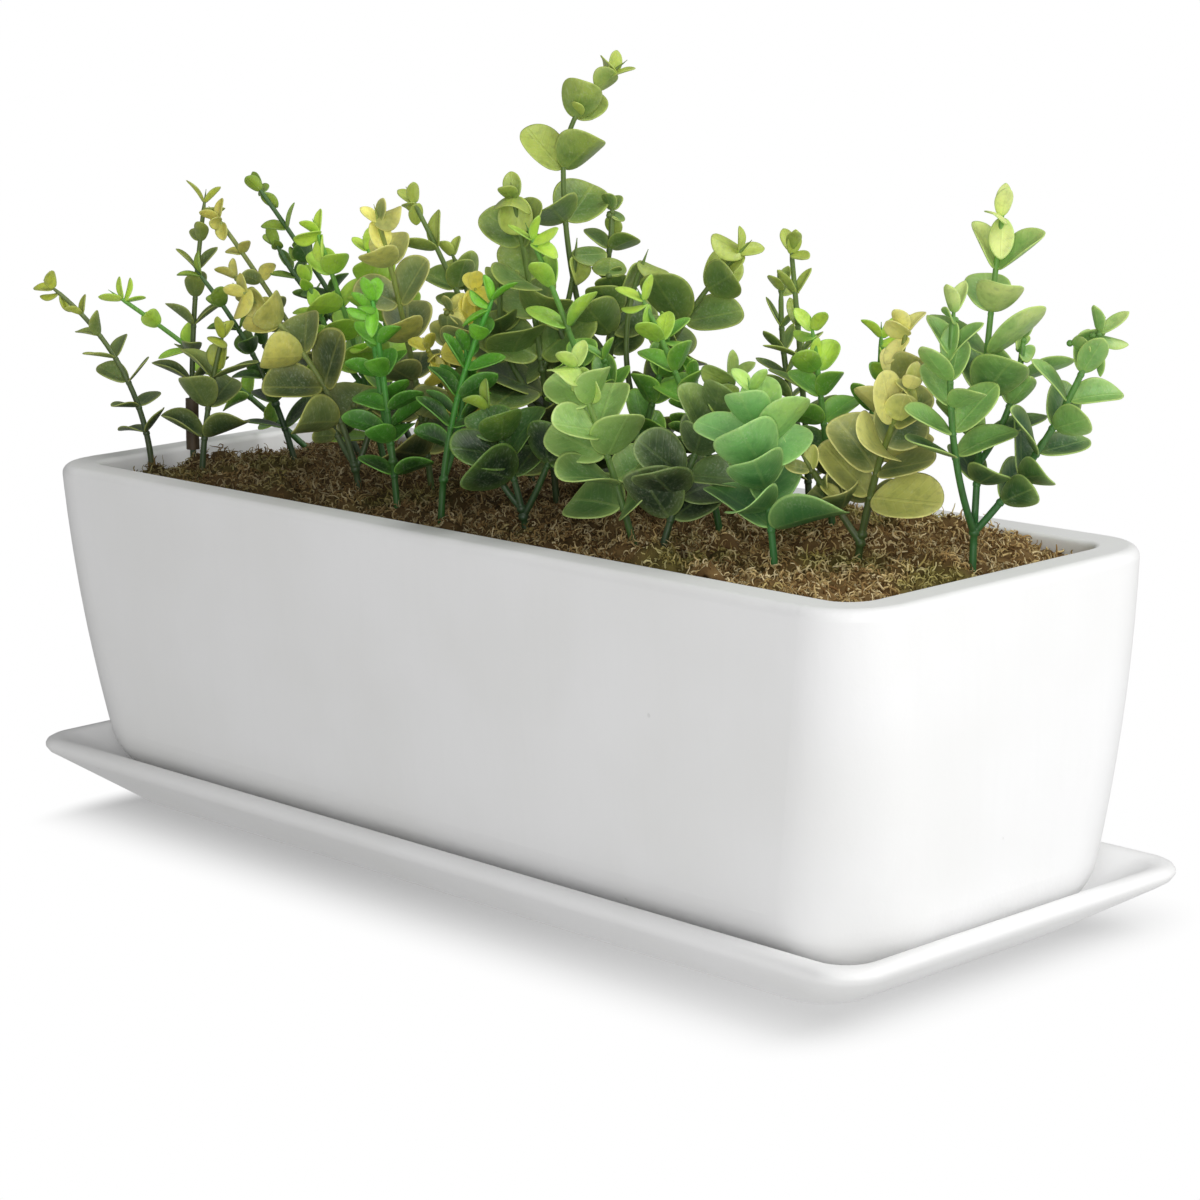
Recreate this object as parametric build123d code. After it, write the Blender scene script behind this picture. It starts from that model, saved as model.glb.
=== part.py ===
from build123d import *
from dataclasses import dataclass
from functools import lru_cache
from itertools import product
import math
import os

import numpy as np

# Long ceramic planter on a drip saucer, planted with artificial sprigs in foam under moss.
# Millimetres, +Z up, origin at the centre of the saucer's underside, +X along the length, -Y the front.

# Pot
POT_LENGTH = 305.0
POT_WIDTH = 104.0
POT_HEIGHT = 86.0
POT_CORNER = 16.0
POT_BASE_CORNER = 26.0
POT_WALL = 10.0
POT_FLOOR = 9.0
POT_FLARE = 6.0
POT_BASE_ROUND = 16.0
POT_WELL_ROUND = 5.0
POT_WELL_CORNER = 7.0
RIM_OUTER_ROUND = 2.5
RIM_INNER_ROUND = 1.5
DRAIN_DIAMETER = 12.0
DRAIN_SPACING = 150.0

# Saucer
SAUCER_MARGIN_LENGTH = 3.0
SAUCER_MARGIN_WIDTH = 6.2
SAUCER_HEIGHT = 17.0
SAUCER_FLOOR = 7.0
SAUCER_FOOT_INSET = 17.0
SAUCER_SHOULDER = 11.5
SAUCER_CORNER = 16.0
SAUCER_FOOT_CORNER = 13.0
SAUCER_WELL_CORNER = 10.0
SAUCER_LIP = 5.0
SAUCER_WELL_SLOPE = 5.5
SAUCER_EDGE_ROUND = 3.0
SAUCER_LIP_ROUND = 1.5

# Filling
FOAM_CLEARANCE = 0.6
MOSS_CLEARANCE = 0.4
MOSS_THICKNESS = 6.0
MOSS_BELOW_RIM = 2.0
MOSS_EDGE_ROUND = 2.0

# Sprigs
STEM_RADIUS = 0.8
KNUCKLE_RADIUS = 1.2
PEG_DEPTH = 26.0
PEG_CLEARANCE = 0.15
FOOT_MARGIN = 5.0
FIRST_PAIR = 9.0
TIP_BARE = 1.2
BUD_LENGTH = 6.0
BUD_TIP_RADIUS = 0.25
FORK_ANGLE = 40.0
EYELET_WALL = 0.6
EYELET_HEIGHT = 1.8
EYELET_CLEARANCE = 0.15
BLADE_FOLD = 16.0
LOW_RISE = 22.0
TIP_RISE = 58.0
TIP_SHRINK = 0.55
LEAF_STEP = 1.5
RISE_STEP = 12.0
LEAF_GAP = 1.35
SLEEVE_RADIUS = 1.8
SLEEVE_START = 3.0
SLEEVE_LENGTH = 14.0

POT_BASE_Z = SAUCER_FLOOR
RIM_Z = POT_BASE_Z + POT_HEIGHT
WELL_Z = POT_BASE_Z + POT_FLOOR
MOSS_Z = RIM_Z - MOSS_BELOW_RIM
FOAM_Z = MOSS_Z - MOSS_THICKNESS
BED_HALF_LENGTH = POT_LENGTH / 2 - POT_WALL - FOOT_MARGIN
BED_HALF_WIDTH = POT_WIDTH / 2 - POT_WALL - FOOT_MARGIN
UP = Vector(0, 0, 1)

# Shares of a blade's length: its half width by form, where the wide part starts and is widest,
# how far the petiole reaches into it, the petiole's half width and the thickness.
LEAF_FORMS = {"round": 0.4, "oval": 0.31, "narrow": 0.2}
BLADE_START = 0.2
BLADE_WIDEST = 0.6
PETIOLE_REACH = 0.3
PETIOLE_SHARE = 0.075
THICKNESS_SHARE = 0.05

# Turns in degrees and cuts in size that are tried where a leaf pair meets a neighbour
SWINGS = (0, 20, -20, 40, -40, 60, -60, 80)
SIZE_CUTS = (0, 1, 2, 3, 4)

# Sine of the angle below which a run counts as straight
STRAIGHT = 0.001


@dataclass
class Branch:
    """One leafy branch: how far its tip leans from its start, how high it rises, and its leaves."""

    lean: tuple
    height: float
    pairs: int
    leaf: float
    form: str = "oval"
    turn: float = 0.0
    upright: float = 0.5
    bend: tuple = None
    fork: float = None
    sleeve: bool = False


# Each sprig: where it stands in the bed, as shares of its half length and half width, and its branches.
# A branch with a fork leaves the first branch at that share of its length.
SPRIGS = [
    ((-0.97, -0.76), [Branch((-17, -18), 53, 7, 11.0, "oval", 20, 0.9)]),
    ((-0.96, -0.41), [Branch((2, 7), 74, 7, 12.0, "oval", 60, 0.9, sleeve=True)]),
    ((-0.94, 0.55), [Branch((-31, -41), 46, 6, 11.5, "oval", 0, 0.1)]),
    ((-0.83, -0.68), [Branch((5, 6), 40, 4, 16.0, "round", 30)]),
    (
        (-0.79, 0.05),
        [
            Branch((-16, -18), 55, 7, 12.5, "oval", 70),
            Branch((-8, 3), 18, 3, 11.0, "oval", 30, fork=0.3),
        ],
    ),
    (
        (-0.73, 0.49),
        [
            Branch((-25, -28), 70, 8, 11.0, "oval", 10, 0.2),
            Branch((-20, -10), 21, 4, 10.5, "oval", 20, fork=0.45),
        ],
    ),
    (
        (-0.62, 0.72),
        [
            Branch((-28, -31), 78, 8, 12.0, "oval", 45, 0.2),
            Branch((-22, -12), 27, 4, 11.0, "oval", 60, fork=0.45),
        ],
    ),
    (
        (-0.41, -0.46),
        [
            Branch((-15, -24), 57, 6, 20.0, "round", 0, 0.8),
            Branch((-12, -3), 24, 3, 16.5, "round", 50, fork=0.12),
            Branch((3, 6), 17, 3, 16.5, "round", 20, fork=0.1),
        ],
    ),
    (
        (-0.55, 0.20),
        [
            Branch((-11, -12), 68, 7, 15.0, "round", 80, 0.3),
            Branch((6, -3), 48, 5, 15.0, "round", 15, fork=0.25),
            Branch((-19, -6), 31, 4, 12.0, "oval", 45, fork=0.35),
        ],
    ),
    (
        (-0.31, -0.11),
        [
            Branch((-2, -13), 75, 7, 20.0, "round", 40),
            Branch((6, 8), 32, 4, 17.5, "round", 10, fork=0.25),
        ],
    ),
    (
        (-0.22, 0.54),
        [
            Branch((-20, -22), 78, 7, 16.0, "oval", 5, 0.2),
            Branch((-16, -1), 36, 5, 15.0, "oval", 55, fork=0.35),
        ],
    ),
    (
        (-0.19, -0.78),
        [
            Branch((-3, -3), 57, 6, 12.5, "oval", 25),
            Branch((-12, 4), 40, 5, 12.0, "oval", 60, fork=0.25),
        ],
    ),
    (
        (-0.20, 0.12),
        [
            Branch((2, -6), 57, 6, 18.0, "round", 75),
            Branch((-8, -16), 28, 4, 17.5, "round", 30, fork=0.25),
        ],
    ),
    (
        (-0.04, -0.86),
        [
            Branch((10, 11), 58, 7, 12.0, "oval", 50, 0.8),
            Branch((-1, 11), 34, 4, 12.0, "oval", 10, fork=0.2),
        ],
    ),
    (
        (0.23, -0.11),
        [
            Branch((-15, -16), 74, 7, 15.0, "oval", 30, 0.3),
            Branch((12, 8), 41, 5, 15.0, "oval", 75, fork=0.12),
            Branch((5, -3), 23, 3, 15.0, "oval", 45, fork=0.3),
        ],
    ),
    ((0.38, -0.57), [Branch((-9, -10), 46, 6, 18.5, "round", 10, 0.2)]),
    (
        (0.09, 0.68),
        [
            Branch((-7, -8), 112, 9, 21.0, "round", 20, -1.2, (-15, -16, 83)),
            Branch((8, -3), 30, 4, 20.0, "round", 45, fork=0.28),
            Branch((-3, -18), 26, 4, 20.0, "round", 80, fork=0.22),
            Branch((3, 9), 34, 4, 16.0, "oval", 10, fork=0.4),
        ],
    ),
    (
        (0.16, -0.76),
        [
            Branch((-4, -8), 34, 5, 19.5, "round", 65),
            Branch((8, 4), 17, 3, 17.5, "round", 20, fork=0.15),
            Branch((-10, -5), 17, 3, 17.5, "round", 50, fork=0.22),
        ],
    ),
    (
        (-0.02, 0.10),
        [
            Branch((3, -14), 82, 8, 19.5, "round", 35),
            Branch((-6, -12), 35, 4, 17.5, "round", 70, fork=0.3),
            Branch((5, 10), 32, 4, 17.5, "round", 15, fork=0.45),
        ],
    ),
    (
        (0.12, 0.30),
        [
            Branch((25, 17), 68, 7, 20.0, "round", 60, 0.9),
            Branch((-2, 3), 44, 5, 17.5, "round", 25, fork=0.3),
        ],
    ),
    (
        (0.42, 0.05),
        [
            Branch((-12, -13), 60, 7, 15.0, "oval", 25),
            Branch((-9, 4), 28, 4, 12.5, "oval", 70, fork=0.2),
        ],
    ),
    ((0.49, -0.73), [Branch((12, 14), 44, 7, 17.5, "round", 45, 0.3)]),
    ((0.71, -0.54), [Branch((-3, -4), 44, 7, 21.0, "round", 15)]),
    (
        (0.44, 0.80),
        [
            Branch((-2, -3), 69, 8, 11.5, "narrow", 70),
            Branch((-12, 3), 42, 6, 11.0, "narrow", 20, fork=0.25),
        ],
    ),
    (
        (0.61, 0.36),
        [
            Branch((-3, -3), 53, 7, 15.0, "oval", 5),
            Branch((7, 13), 42, 5, 12.0, "oval", 50, fork=0.18),
        ],
    ),
    (
        (0.76, 0.0),
        [
            Branch((16, 1), 44, 6, 20.0, "round", 30),
            Branch((-2, 19), 48, 5, 15.0, "oval", 70, fork=0.15),
            Branch((-6, -13), 22, 4, 16.5, "round", 15, fork=0.1),
        ],
    ),
    (
        (0.94, 0.30),
        [
            Branch((0, 11), 82, 8, 17.5, "round", 40),
            Branch((4, -12), 54, 8, 16.0, "oval", 15, fork=0.1),
            Branch((24, 18), 48, 7, 16.0, "oval", 65, fork=0.1),
            Branch((3, 15), 30, 4, 15.0, "oval", 40, fork=0.3),
        ],
    ),
]


def pot_plan(inset, z, corner):
    """The pot's rounded plan, drawn in by inset all round, at height z."""
    return Pos(0, 0, z) * RectangleRounded(POT_LENGTH - 2 * inset, POT_WIDTH - 2 * inset, corner)


def well_plan(z, clearance=0.0):
    """The plan of the pot's well at height z, drawn in by a clearance for what lies in it."""
    return pot_plan(well_inset(z) + clearance, z, POT_WELL_CORNER)


def well_inset(z):
    """How far the pot's inner wall lies inside the rim's outline at height z."""
    return POT_WALL + POT_FLARE * (RIM_Z - z) / (RIM_Z - WELL_Z)


def lowest_edges(solid):
    return solid.edges().group_by(Axis.Z)[0]


def highest_edges(solid):
    return solid.edges().group_by(Axis.Z)[-1]


def make_pot():
    """Trough with walls that swell out from a rounded base, corners that tighten upwards, and drain holes."""
    base = pot_plan(POT_FLARE, POT_BASE_Z, POT_BASE_CORNER)
    waist = pot_plan(POT_FLARE / 4, POT_BASE_Z + POT_HEIGHT / 2, (POT_BASE_CORNER + POT_CORNER) / 2)
    body = loft([base, waist, pot_plan(0, RIM_Z, POT_CORNER)])
    body = fillet(lowest_edges(body), POT_BASE_ROUND)
    body = fillet(highest_edges(body), RIM_OUTER_ROUND)
    well = loft([well_plan(WELL_Z), well_plan(RIM_Z)])
    well = fillet(lowest_edges(well), POT_WELL_ROUND)
    body -= well
    rim = body.faces().sort_by(Axis.Z)[-1]
    body = fillet(rim.inner_wires()[0].edges(), RIM_INNER_ROUND)
    for side in (-1, 1):
        drain = Pos(side * DRAIN_SPACING / 2, 0, WELL_Z) * Cylinder(DRAIN_DIAMETER / 2, 3 * POT_FLOOR)
        body -= drain
    return body


def saucer_plan(inset, z, corner):
    """The saucer's rounded plan, drawn in by inset all round, at height z."""
    length = POT_LENGTH + 2 * SAUCER_MARGIN_LENGTH - 2 * inset
    width = POT_WIDTH + 2 * SAUCER_MARGIN_WIDTH - 2 * inset
    return Pos(0, 0, z) * RectangleRounded(length, width, corner)


def make_saucer():
    """Drip tray: a flat foot, sides that flare out to a beaded lip, and a shallow sloping well."""
    foot = saucer_plan(SAUCER_FOOT_INSET, 0, SAUCER_FOOT_CORNER)
    shoulder = saucer_plan(0, SAUCER_SHOULDER, SAUCER_CORNER)
    tray = loft([foot, shoulder]) + extrude(shoulder, SAUCER_HEIGHT - SAUCER_SHOULDER)
    bead = highest_edges(tray) + tray.edges().filter_by_position(Axis.Z, SAUCER_SHOULDER, SAUCER_SHOULDER)
    tray = fillet(bead, SAUCER_EDGE_ROUND)
    well_floor = saucer_plan(SAUCER_LIP + SAUCER_WELL_SLOPE, SAUCER_FLOOR, SAUCER_WELL_CORNER)
    well_mouth = saucer_plan(SAUCER_LIP, SAUCER_HEIGHT, SAUCER_WELL_CORNER)
    tray -= loft([well_floor, well_mouth])
    lip = tray.faces().sort_by(Axis.Z)[-1]
    return fillet(lip.inner_wires()[0].edges(), SAUCER_LIP_ROUND)


def make_foam():
    """Dry foam block that fills the pot up to the moss."""
    block = loft([well_plan(WELL_Z, FOAM_CLEARANCE), well_plan(FOAM_Z, FOAM_CLEARANCE)])
    return fillet(lowest_edges(block), POT_WELL_ROUND)


def make_moss():
    """Pad of moss over the foam, a little below the rim."""
    pad = loft([well_plan(FOAM_Z, MOSS_CLEARANCE), well_plan(MOSS_Z, MOSS_CLEARANCE)])
    return fillet(highest_edges(pad), MOSS_EDGE_ROUND)


def run_to(start, heading, point):
    """A smooth run that leaves start along heading and ends at point."""
    chord = (point - start).normalized()
    if heading.cross(chord).length < STRAIGHT:
        return Line(start, point)
    return TangentArc(start, point, tangent=heading)


def stem_heading(branch):
    """The direction in which a main stem sets off, between straight up and straight to its first point."""
    aim = branch.bend or (branch.lean[0], branch.lean[1], branch.height)
    return (Vector(*aim).normalized() * (1 - branch.upright) + UP * branch.upright).normalized()


def shoot_heading(branch, stem_way):
    """The direction in which a shoot leaves a stem, turned from the stem's way towards the shoot's tip."""
    aim = Vector(branch.lean[0], branch.lean[1], branch.height)
    aside = (aim - stem_way * aim.dot(stem_way)).normalized()
    angle = math.radians(FORK_ANGLE)
    return stem_way * math.cos(angle) + aside * math.sin(angle)


def branch_runs(start, heading, branch):
    """The runs of a branch, from where it starts to the bud at its tip."""
    runs = []
    here = start
    if branch.bend:
        runs.append(run_to(here, heading, start + Vector(*branch.bend)))
        heading = runs[-1] % 1
        here = runs[-1] @ 1
    reach = Vector(branch.lean[0], branch.lean[1], branch.height)
    runs.append(run_to(here, heading, start + reach * (1 - BUD_LENGTH / reach.length)))
    return runs


def tube(runs, radius):
    """A round bar along the runs."""
    path = Wire(runs)
    return sweep(Plane(origin=path @ 0, z_dir=path % 0) * Circle(radius), path=path)


def make_bud(path):
    """The pointed bud at the end of a branch."""
    cone = Cone(STEM_RADIUS, BUD_TIP_RADIUS, BUD_LENGTH, align=(Align.CENTER, Align.CENTER, Align.MIN))
    return Plane(origin=path @ 1, z_dir=path % 1).location * cone


def make_blade(form):
    """One blade, 1 mm long, from the stem's axis along +X: two halves folded up from the midrib."""
    shoulder = (BLADE_WIDEST, LEAF_FORMS[form])
    end = EllipticalCenterArc((BLADE_WIDEST, 0), 1 - BLADE_WIDEST, LEAF_FORMS[form], arc_size=90)
    foot = TangentArc(shoulder, (BLADE_START, 0), tangent=(-1, 0))
    half = make_face([Line((BLADE_START, 0), (1, 0)), end, foot])
    half += Pos(PETIOLE_REACH / 2, PETIOLE_SHARE / 2) * Rectangle(PETIOLE_REACH, PETIOLE_SHARE)
    left = Rot(BLADE_FOLD, 0, 0) * extrude(half, THICKNESS_SHARE)
    return left + mirror(left, about=Plane.XZ)


def blade_points(form):
    """Points spread over the same blade, for measuring clearances."""
    points = [(0, 0, 0)]
    for along in np.linspace(BLADE_START, 1, 12):
        bulge = 1 - ((along - BLADE_WIDEST) / (1 - BLADE_WIDEST)) ** 2
        reach = max(LEAF_FORMS[form] * math.sqrt(max(bulge, 0)), PETIOLE_SHARE)
        for across in np.linspace(-reach, reach, 9):
            points.append((along, across, abs(across) * math.tan(math.radians(BLADE_FOLD))))
    return np.array(points)


BLADES = {form: make_blade(form) for form in LEAF_FORMS}
BLADE_POINTS = {form: blade_points(form) for form in LEAF_FORMS}


def pair_frame(place, axis, turn):
    """The frame of a leaf pair: Z along the stem, X turned about it."""
    side = Vector(1, 0, 0) if abs(axis.X) < 0.8 else Vector(0, 1, 0)
    across = (side - axis * side.dot(axis)).normalized()
    return Plane(origin=place, x_dir=across.rotate(Axis((0, 0, 0), axis), turn), z_dir=axis)


def eyelet_size(rise):
    """The eyelet's outer radius, and its height up to where blades at this rise leave it."""
    radius = STEM_RADIUS + EYELET_CLEARANCE + EYELET_WALL
    return radius, EYELET_HEIGHT + radius * math.tan(math.radians(rise))


def eyelet_points(rise):
    """Points round both ends of an eyelet, for measuring clearances."""
    radius, height = eyelet_size(rise)
    ring = np.linspace(0, 2 * math.pi, 8, endpoint=False)
    ends = [np.c_[radius * np.cos(ring), radius * np.sin(ring), np.full(8, z)] for z in (0, height)]
    return np.vstack(ends) - [0, 0, EYELET_HEIGHT / 2]


def pair_points(frame, form, length, rise):
    """Where the points of both blades and the eyelet lie."""
    local = BLADE_POINTS[form] * length
    tilt = math.radians(rise)
    out = local[:, 0] * math.cos(tilt) - local[:, 2] * math.sin(tilt)
    up = local[:, 0] * math.sin(tilt) + local[:, 2] * math.cos(tilt)
    both = np.vstack([np.c_[out, local[:, 1], up], np.c_[-out, -local[:, 1], up], eyelet_points(rise)])
    axes = np.array([tuple(frame.x_dir), tuple(frame.y_dir), tuple(frame.z_dir)])
    return both @ axes + np.array(tuple(frame.origin))


@lru_cache(maxsize=None)
def make_pair(form, length, rise):
    """Two opposite blades moulded on an eyelet that threads on the stem, with the stem along Z."""
    blade = Rot(0, -rise, 0) * scale(BLADES[form], by=length)
    radius, height = eyelet_size(rise)
    eyelet = Pos(0, 0, (height - EYELET_HEIGHT) / 2) * Cylinder(radius, height)
    return blade + Rot(0, 0, 180) * blade + eyelet - Cylinder(radius - EYELET_WALL, 4 * height)


def clears(points, others, gap):
    """True where no point lies nearer than the gap to any of the other groups of points."""
    low = points.min(axis=0) - gap
    high = points.max(axis=0) + gap
    for other in others:
        near = other[np.all((other > low) & (other < high), axis=1)]
        if len(near) and np.linalg.norm(points[:, None] - near[None], axis=2).min() < gap:
            return False
    return True


def graded(value, step):
    """The nearest of the sizes that the mouldings are made in."""
    return step * round(value / step)


class Sprig:
    """A sprig's stems, from the peg in the foam to the tips, before its leaves are put on."""

    def __init__(self, number, foot, branches):
        self.name = f"sprig_{number:02d}"
        self.branches = branches
        self.sleeved = branches[0].sleeve
        self.foot = Vector(foot[0] * BED_HALF_LENGTH, foot[1] * BED_HALF_WIDTH, MOSS_Z)
        self.heading = stem_heading(branches[0])
        self.peg_end = self.foot - self.heading * PEG_DEPTH
        stem = Wire(branch_runs(self.foot, self.heading, branches[0]))
        self.paths = [stem]
        for shoot in branches[1:]:
            heading = shoot_heading(shoot, stem % shoot.fork)
            self.paths.append(Wire(branch_runs(stem @ shoot.fork, heading, shoot)))

    def stem(self):
        """The peg and all branches in one piece, with a knuckle at each fork and a bud at each tip."""
        main = Wire([Line(self.peg_end, self.foot)] + self.paths[0].edges())
        solid = tube(main.edges(), STEM_RADIUS)
        for path in self.paths[1:]:
            solid += Pos(path @ 0) * Sphere(KNUCKLE_RADIUS)
            solid += tube(path.edges(), STEM_RADIUS)
        for path in self.paths:
            solid += make_bud(path)
        return solid

    def hole(self):
        """The hole that the peg leaves in the moss and the foam."""
        top = self.foot + self.heading * MOSS_THICKNESS
        return tube([Line(self.peg_end, top)], STEM_RADIUS + PEG_CLEARANCE)

    def branch_points(self):
        """Points along each branch and its bud, for measuring clearances."""
        lines = []
        for path in self.paths:
            along = [path @ share for share in np.linspace(0, 1, 90)]
            bud = [path @ 1 + path % 1 * reach for reach in np.linspace(0, BUD_LENGTH, 8)]
            lines.append(np.array([tuple(point) for point in along + bud]))
        return lines

    def pair_places(self):
        """Each pair's branch, place, direction, turn, form, length and rise, from the foot to the tip."""
        for number, (path, branch) in enumerate(zip(self.paths, self.branches)):
            first = FIRST_PAIR / path.length
            if branch.sleeve:
                first = (SLEEVE_START + SLEEVE_LENGTH + FIRST_PAIR / 2) / path.length
            last = 1 - TIP_BARE / path.length
            for index in range(branch.pairs):
                share = first + (last - first) * index / (branch.pairs - 1)
                length = graded(branch.leaf * (1 - TIP_SHRINK * share**2), LEAF_STEP)
                rise = graded(LOW_RISE + (TIP_RISE - LOW_RISE) * share**2, RISE_STEP)
                turn = branch.turn + 90 * index
                yield number, path @ share, path % share, turn, branch.form, length, rise


def put_on_leaves(sprigs):
    """Leaf pairs for every sprig. A pair that meets a neighbour is turned, then shortened, then left out."""
    stems = {(s.name, number): line for s in sprigs for number, line in enumerate(s.branch_points())}
    placed = []
    leaves = {}
    for sprig in sprigs:
        pairs = []
        for branch, place, axis, turn, form, length, rise in sprig.pair_places():
            other_stems = [line for key, line in stems.items() if key != (sprig.name, branch)]
            for cut, swing in product(SIZE_CUTS, SWINGS):
                size = length - cut * LEAF_STEP
                frame = pair_frame(place, axis, turn + swing)
                points = pair_points(frame, form, size, rise)
                if points[:, 2].min() < RIM_Z + LEAF_GAP:
                    continue
                if clears(points, other_stems, LEAF_GAP + STEM_RADIUS) and clears(points, placed, LEAF_GAP):
                    placed.append(points)
                    pairs.append(frame.location * make_pair(form, size, rise))
                    break
        leaves[sprig.name] = Compound(children=pairs)
    return leaves


def make_sleeve(sprig):
    """Plug-in sleeve round the foot of a stem."""
    path = sprig.paths[0].edges()[0]
    start = SLEEVE_START / path.length
    run = path.trim(start, start + SLEEVE_LENGTH / path.length)
    return tube([run], SLEEVE_RADIUS) - tube([run], STEM_RADIUS + EYELET_CLEARANCE)


def main():
    sprigs = [Sprig(number, foot, branches) for number, (foot, branches) in enumerate(SPRIGS, 1)]
    holes = [sprig.hole() for sprig in sprigs]
    leaves = put_on_leaves(sprigs)
    parts = {
        "pot": make_pot(),
        "saucer": make_saucer(),
        "foam_block": make_foam() - holes,
        "moss_bed": make_moss() - holes,
    }
    for sprig in sprigs:
        if sprig.sleeved:
            parts["stem_sleeve"] = make_sleeve(sprig)
        parts[f"{sprig.name}_stem"] = sprig.stem()
        parts[f"{sprig.name}_leaves"] = leaves[sprig.name]
    os.makedirs("parts", exist_ok=True)
    for name, shape in parts.items():
        export_step(shape, f"parts/{name}.step")


main()
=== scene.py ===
import math
import random
from dataclasses import dataclass

import bmesh
import bpy
import numpy as np
from mathutils import Matrix, Vector, noise


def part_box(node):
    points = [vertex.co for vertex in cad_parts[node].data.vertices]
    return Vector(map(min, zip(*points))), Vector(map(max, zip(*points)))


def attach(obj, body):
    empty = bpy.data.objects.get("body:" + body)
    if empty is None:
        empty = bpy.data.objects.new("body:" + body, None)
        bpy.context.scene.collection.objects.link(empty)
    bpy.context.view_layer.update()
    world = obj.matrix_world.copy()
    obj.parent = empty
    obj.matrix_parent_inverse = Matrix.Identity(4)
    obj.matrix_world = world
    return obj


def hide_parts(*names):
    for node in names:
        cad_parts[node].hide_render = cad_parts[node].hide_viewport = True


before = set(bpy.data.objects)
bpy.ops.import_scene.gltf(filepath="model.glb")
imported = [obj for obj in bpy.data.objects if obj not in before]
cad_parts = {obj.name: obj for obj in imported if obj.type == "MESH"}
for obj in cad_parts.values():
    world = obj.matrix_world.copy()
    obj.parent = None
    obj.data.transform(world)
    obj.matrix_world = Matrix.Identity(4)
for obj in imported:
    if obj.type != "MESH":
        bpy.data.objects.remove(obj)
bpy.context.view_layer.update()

# Metres, +Z up, the same frame as the CAD part: the saucer stands on z = 0, the front faces -Y.

MM = 0.001
# Points of a copied CAD mesh that lie nearer than this are one point
MERGE_DISTANCE = 0.002 * MM

# Saucer, in mm, from the foot up over the lip and down into the well: inset at the ends, inset at the sides,
# height and corner radius
SAUCER_PROFILE = (
    (24.0, 18.0, 0.0, 11.0), (22.6, 16.9, 0.3, 11.0), (2.6, 2.3, 12.2, 10.5), (0.9, 0.8, 13.4, 10.0),
    (0.1, 0.1, 14.7, 10.0), (0.1, 0.1, 15.5, 10.0), (0.5, 0.5, 16.3, 9.8), (1.4, 1.4, 16.85, 9.4),
    (2.4, 2.4, 17.0, 9.0), (3.6, 3.6, 16.95, 8.6), (5.0, 5.0, 16.4, 8.4), (8.0, 8.0, 14.2, 8.0),
    (11.0, 11.0, 11.7, 8.0), (13.5, 13.5, 9.8, 8.0), (16.5, 16.5, 8.1, 8.0), (19.5, 19.5, 7.15, 8.0),
    (22.0, 22.0, 6.95, 8.0),
)
CORNER_STEPS = 14

# Moss bed: level of its top, half length and half width, and how far it sinks at its left and right ends
MOSS_LEVEL = 91.5 * MM
BED_HALF = (141.5 * MM, 41.0 * MM)
END_SINK = (5.5 * MM, 3.0 * MM)
END_REACH = 32 * MM
# Waves per metre of its mounds, its large and small clumps, their bends and its crumbs
MOUND_WAVES = 28
CLUMP_WAVES = (105, 260)
BEND_WAVES = 130
CRUMB_WAVES = 420
# The swell at the back right: its middle, its reach, and its height in mm
SWELL_MIDDLE = (0.1, 0.03)
SWELL_REACH = (0.035, 0.018)
SWELL_HEIGHT = 3.2
# The matted ground: squares each way, how far it lies below the clumps in mm, and thickness
GROUND_GRID = (190, 56)
GROUND_DROP = 2.4
GROUND_THICKNESS = 1.6 * MM
# The curls: one piece for each seed, curls in a piece, points, length of a step and radius in mm
CURL_SEEDS = (1, 2, 3, 4, 5)
CURL_COUNT = 5600
CURL_POINTS = 5
CURL_STEP = (0.45, 1.0)
CURL_RADIUS = (0.13, 0.34)

# Stems: change of the radius at the foot and at the top, collar radius at the foot and at the top, and the
# share of the height up to which there are collars
STEM_SWELL = (0.05 * MM, -0.22 * MM)
COLLAR = (1.1 * MM, 0.6 * MM)
COLLAR_END = 0.7

# Leaf pairs: half height of the CAD eyelet, spacing of the pairs, and the longest bare stretch that is filled
EYELET_HALF = 0.9 * MM
PAIR_SPACING = 8.2 * MM
BARE_LIMIT = 3.6 * PAIR_SPACING
# The next pair of a stem: how far it lies ahead at least, how far aside at the most, as a share of the way
# ahead and a length, and how well its axis agrees
NEXT_AHEAD = 3 * MM
NEXT_ASIDE = (0.14, 0.8 * MM)
NEXT_ALIGNED = 0.9

# Blades: thickness, start from the stem's middle, half width of the petiole, squares of the grid each way,
# and how much a blade gains on the solid's towards the tip of a sprig
BLADE_THICKNESS = 0.42 * MM
BLADE_START = 0.4 * MM
PETIOLE_HALF = 0.6 * MM
BLADE_GRID = 6
TIP_GROWTH = 0.15
# How far blades differ: rise, sway and twist in degrees, share of the turn to the front right, length, width,
# cup, fold and curl
RISE_PLAY = 12
SWAY_PLAY = 14
TWIST_PLAY = 18
TURN_PLAY = (0.4, 1.2)
LENGTH_PLAY = (0.88, 1.08)
WIDTH_PLAY = (0.9, 1.1)
CUP_PLAY = (0.12, 0.5)
FOLD_PLAY = (0.0, 0.12)
CURL_PLAY = (-0.18, 0.12)

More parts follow.
